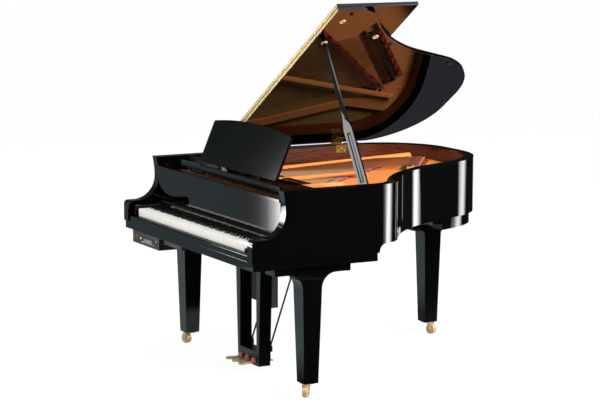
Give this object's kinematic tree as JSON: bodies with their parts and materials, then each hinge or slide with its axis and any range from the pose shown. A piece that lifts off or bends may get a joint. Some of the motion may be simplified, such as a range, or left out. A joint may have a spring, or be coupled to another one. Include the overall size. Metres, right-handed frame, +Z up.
{
  "type": "grand piano",
  "caption": "Black grand piano with its lid on a prop, folded front flap, music desk, keyboard, pedal lyre and casters.",
  "frame": {"origin": "on the floor under the middle of the case, half way along its length and width", "axes": "+X towards the treble side, +Y from the keyboard to the tail, +Z up"},
  "size_m": [1.5118, 1.718, 1.8265],
  "materials": {
    "ebony_lacquer": "polished black lacquer over laminated wood",
    "satin_black": "satin black",
    "mahogany": "oiled",
    "spruce": "clear varnish",
    "maple": "clear varnish",
    "gold_iron": "gold paint",
    "steel_wire": "polished",
    "copper_wire": "copper winding",
    "brass": "polished",
    "ivory_plastic": "polished",
    "ebony_plastic": "satin",
    "felt": "felt and lacquered wood",
    "rubber": "matt",
    "panel": "moulded"
  },
  "bodies": {
    "case": {"outer_rim": "ebony_lacquer", "inner_rim": "mahogany", "support_beams": "spruce", "keybed": "ebony_lacquer", "key_slip": "ebony_lacquer", "key_blocks": "ebony_lacquer", "shelf_rails": "ebony_lacquer", "soundboard": "spruce", "bridges": "maple", "pin_block": "maple", "iron_plate": "gold_iron", "tuning_pins": "steel_wire", "treble_strings": "steel_wire", "bass_strings": "copper_wire", "rim_hinge_leaves": "brass", "prop_bracket": "brass", "legs": "ebony_lacquer", "lyre_posts": "ebony_lacquer", "pedal_box": "ebony_lacquer", "lyre_braces": "satin_black", "control_unit": "satin_black", "control_panel_fittings": "panel", "drive_unit": "satin_black"},
    "fallboard": {"fallboard": "ebony_lacquer"},
    "music_shelf": {"music_shelf": "ebony_lacquer"},
    "music_desk": {"music_desk": "ebony_lacquer"},
    "desk_stay": {"desk_stay": "ebony_lacquer"},
    "key_frame": {"key_frame": "maple", "action": "maple"},
    "dampers": {"dampers": "felt"},
    "lid": {"lid": "ebony_lacquer", "lid_hinge_leaves": "brass", "prop_cups": "brass", "lid_buffers": "rubber"},
    "lid_flap": {"lid_flap": "ebony_lacquer", "flap_hinge_leaf": "brass"},
    "lid_prop": {"lid_prop": "ebony_lacquer"},
    "short_prop": {"short_prop": "ebony_lacquer"},
    "control_button": {"control_button": "panel"},
    "c_keys": {"c_keys": "ivory_plastic"},
    "d_keys": {"d_keys": "ivory_plastic"},
    "e_keys": {"e_keys": "ivory_plastic"},
    "f_keys": {"f_keys": "ivory_plastic"},
    "g_keys": {"g_keys": "ivory_plastic"},
    "a_keys": {"a_keys": "ivory_plastic"},
    "b_keys": {"b_keys": "ivory_plastic"},
    "twin_sharps": {"twin_sharps": "ebony_plastic"},
    "triple_sharps": {"triple_sharps": "ebony_plastic"},
    "left_caster_fork": {"left_caster_fork": "brass"},
    "left_caster_wheel": {"left_caster_wheel": "brass"},
    "right_caster_fork": {"right_caster_fork": "brass"},
    "right_caster_wheel": {"right_caster_wheel": "brass"},
    "rear_caster_fork": {"rear_caster_fork": "brass"},
    "rear_caster_wheel": {"rear_caster_wheel": "brass"},
    "left_pedal": {"left_pedal": "brass"},
    "left_pedal_rod": {"left_pedal_rod": "satin_black"},
    "middle_pedal": {"middle_pedal": "brass"},
    "middle_pedal_rod": {"middle_pedal_rod": "satin_black"},
    "right_pedal": {"right_pedal": "brass"},
    "right_pedal_rod": {"right_pedal_rod": "satin_black"}
  },
  "joints": [
    {"name": "fallboard_hinge", "type": "hinge", "parent": "case", "child": "fallboard", "pos_m": [0, -0.672, 0.786], "axis": [1, 0, 0], "range_deg": [0, 90]},
    {"name": "music_shelf_slide", "type": "slide", "parent": "case", "child": "music_shelf", "axis": [0, 1, 0], "range_m": [-0.04, 0.05]},
    {"name": "music_desk_hinge", "type": "hinge", "parent": "music_shelf", "child": "music_desk", "pos_m": [0, -0.562, 0.967], "axis": [-1, 0, 0], "range_deg": [0, 67.2]},
    {"name": "desk_stay_hinge", "type": "hinge", "parent": "music_desk", "child": "desk_stay", "pos_m": [0, -0.53487, 1.03153], "axis": [1, 0, 0], "range_deg": [0, 134.4]},
    {"name": "key_frame_shift", "type": "slide", "parent": "case", "child": "key_frame", "axis": [1, 0, 0], "range_m": [0, 0.003]},
    {"name": "c_keys_balance", "type": "hinge", "parent": "key_frame", "child": "c_keys", "pos_m": [0, -0.623, 0.718], "axis": [1, 0, 0], "range_deg": [0, 2.8]},
    {"name": "d_keys_balance", "type": "hinge", "parent": "key_frame", "child": "d_keys", "pos_m": [0, -0.623, 0.718], "axis": [1, 0, 0], "range_deg": [0, 2.8]},
    {"name": "e_keys_balance", "type": "hinge", "parent": "key_frame", "child": "e_keys", "pos_m": [0, -0.623, 0.718], "axis": [1, 0, 0], "range_deg": [0, 2.8]},
    {"name": "f_keys_balance", "type": "hinge", "parent": "key_frame", "child": "f_keys", "pos_m": [0, -0.623, 0.718], "axis": [1, 0, 0], "range_deg": [0, 2.8]},
    {"name": "g_keys_balance", "type": "hinge", "parent": "key_frame", "child": "g_keys", "pos_m": [0, -0.623, 0.718], "axis": [1, 0, 0], "range_deg": [0, 2.8]},
    {"name": "a_keys_balance", "type": "hinge", "parent": "key_frame", "child": "a_keys", "pos_m": [0, -0.623, 0.718], "axis": [1, 0, 0], "range_deg": [0, 2.8]},
    {"name": "b_keys_balance", "type": "hinge", "parent": "key_frame", "child": "b_keys", "pos_m": [0, -0.623, 0.718], "axis": [1, 0, 0], "range_deg": [0, 2.8]},
    {"name": "twin_sharps_balance", "type": "hinge", "parent": "key_frame", "child": "twin_sharps", "pos_m": [0, -0.623, 0.718], "axis": [1, 0, 0], "range_deg": [0, 2.8]},
    {"name": "triple_sharps_balance", "type": "hinge", "parent": "key_frame", "child": "triple_sharps", "pos_m": [0, -0.623, 0.718], "axis": [1, 0, 0], "range_deg": [0, 2.8]},
    {"name": "damper_lift", "type": "slide", "parent": "case", "child": "dampers", "axis": [0, 0, 1], "range_m": [0, 0.006]},
    {"name": "lid_hinge", "type": "hinge", "parent": "case", "child": "lid", "pos_m": [-0.749, -0.853, 0.9935], "axis": [0, -1, 0], "range_deg": [0, 12]},
    {"name": "flap_hinge", "type": "hinge", "parent": "lid", "child": "lid_flap", "pos_m": [-0.12567, -0.2895, 1.40936], "axis": [0.8476, 0, 0.5307], "range_deg": [0, 180]},
    {"name": "lid_prop_pivot", "type": "hinge", "parent": "case", "child": "lid_prop", "pos_m": [0.655, -0.213, 0.952], "axis": [-0.6855, -0.5959, -0.4182], "range_deg": [0, 64]},
    {"name": "short_prop_pivot", "type": "hinge", "parent": "lid_prop", "child": "short_prop", "pos_m": [0.62809, -0.21327, 0.99649], "axis": [-0.6855, -0.5959, -0.4182], "range_deg": [-30, 0]},
    {"name": "left_caster_swivel", "type": "hinge", "parent": "case", "child": "left_caster_fork", "pos_m": [-0.6615, -0.523, 0.0655], "axis": [0, 0, 1], "continuous": true},
    {"name": "left_caster_axle", "type": "hinge", "parent": "left_caster_fork", "child": "left_caster_wheel", "pos_m": [-0.68649, -0.53017, 0.027], "axis": [0.2756, -0.9613, 0], "continuous": true},
    {"name": "right_caster_swivel", "type": "hinge", "parent": "case", "child": "right_caster_fork", "pos_m": [0.6615, -0.523, 0.0655], "axis": [0, 0, 1], "continuous": true},
    {"name": "right_caster_axle", "type": "hinge", "parent": "right_caster_fork", "child": "right_caster_wheel", "pos_m": [0.67988, -0.54139, 0.027], "axis": [0.7071, 0.7071, 0], "continuous": true},
    {"name": "rear_caster_swivel", "type": "hinge", "parent": "case", "child": "rear_caster_fork", "pos_m": [-0.32, 0.716, 0.0655], "axis": [0, 0, 1], "continuous": true},
    {"name": "rear_caster_axle", "type": "hinge", "parent": "rear_caster_fork", "child": "rear_caster_wheel", "pos_m": [-0.29557, 0.72489, 0.027], "axis": [-0.342, 0.9397, 0], "continuous": true},
    {"name": "left_pedal_pivot", "type": "hinge", "parent": "case", "child": "left_pedal", "pos_m": [-0.07, -0.467, 0.0455], "axis": [1, 0, 0], "range_deg": [0, 8], "stiffness_Nm_per_rad": 10, "springref_deg": -3.44},
    {"name": "left_pedal_rod_slide", "type": "slide", "parent": "case", "child": "left_pedal_rod", "axis": [0, 0, 1], "range_m": [0, 0.0068]},
    {"name": "middle_pedal_pivot", "type": "hinge", "parent": "case", "child": "middle_pedal", "pos_m": [0, -0.467, 0.0455], "axis": [1, 0, 0], "range_deg": [0, 8], "stiffness_Nm_per_rad": 10, "springref_deg": -3.44},
    {"name": "middle_pedal_rod_slide", "type": "slide", "parent": "case", "child": "middle_pedal_rod", "axis": [0, 0, 1], "range_m": [0, 0.0068]},
    {"name": "right_pedal_pivot", "type": "hinge", "parent": "case", "child": "right_pedal", "pos_m": [0.07, -0.467, 0.0455], "axis": [1, 0, 0], "range_deg": [0, 8], "stiffness_Nm_per_rad": 10, "springref_deg": -3.44},
    {"name": "right_pedal_rod_slide", "type": "slide", "parent": "case", "child": "right_pedal_rod", "axis": [0, 0, 1], "range_m": [0, 0.0068]},
    {"name": "control_button_press", "type": "slide", "parent": "case", "child": "control_button", "axis": [0, 1, 0], "range_m": [0, 0.003], "stiffness_N_per_m": 200, "springref_m": -0.002}
  ],
  "couplings": [
    {"joint": "desk_stay_hinge", "follows": "music_desk_hinge", "ratio": 2},
    {"joint": "left_pedal_rod_slide", "follows": "left_pedal_pivot", "m_per_rad": 0.048},
    {"joint": "middle_pedal_rod_slide", "follows": "middle_pedal_pivot", "m_per_rad": 0.048},
    {"joint": "right_pedal_rod_slide", "follows": "right_pedal_pivot", "m_per_rad": 0.048},
    {"joint": "key_frame_shift", "follows": "left_pedal_pivot", "m_per_rad": 0.021414},
    {"joint": "damper_lift", "follows": "right_pedal_pivot", "m_per_rad": 0.042829}
  ]
}
